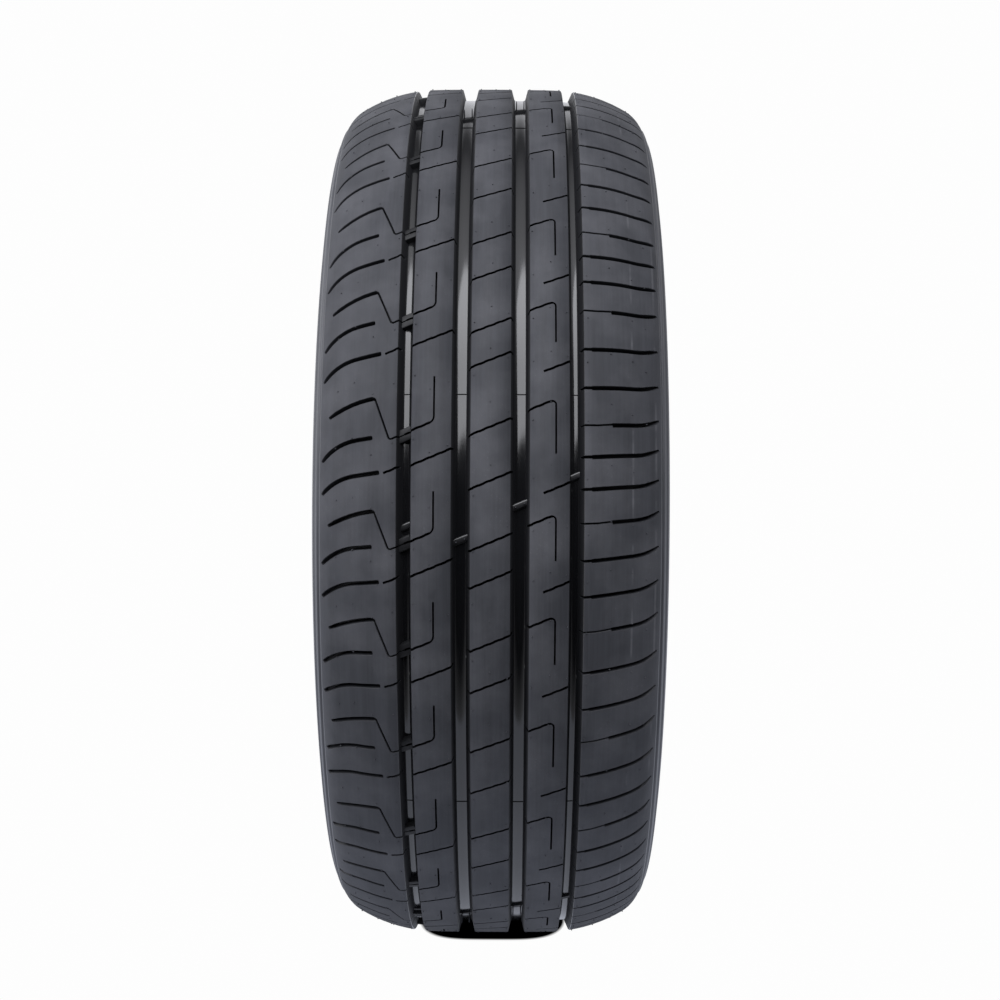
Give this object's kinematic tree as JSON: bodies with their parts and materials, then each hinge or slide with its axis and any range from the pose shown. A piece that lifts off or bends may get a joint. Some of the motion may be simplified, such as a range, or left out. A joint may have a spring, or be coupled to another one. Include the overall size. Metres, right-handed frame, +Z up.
{
  "type": "car tyre",
  "caption": "Tubeless road tyre for a passenger car wheel, with an asymmetric ribbed tread, shoulder grooves, sipes, wear bars, smooth sidewalls and two open beads.",
  "frame": {"origin": "middle of the tyre, on the axle line and halfway between the beads", "axes": "+Y along the axle line, +Z up; the tread's flat patch faces down, and the tread seen in the picture faces +X"},
  "size_m": [0.634, 0.224, 0.632],
  "materials": {
    "tyre_rubber": "matte moulded rubber"
  },
  "bodies": {
    "root": {"tyre": "tyre_rubber"}
  },
  "joints": []
}
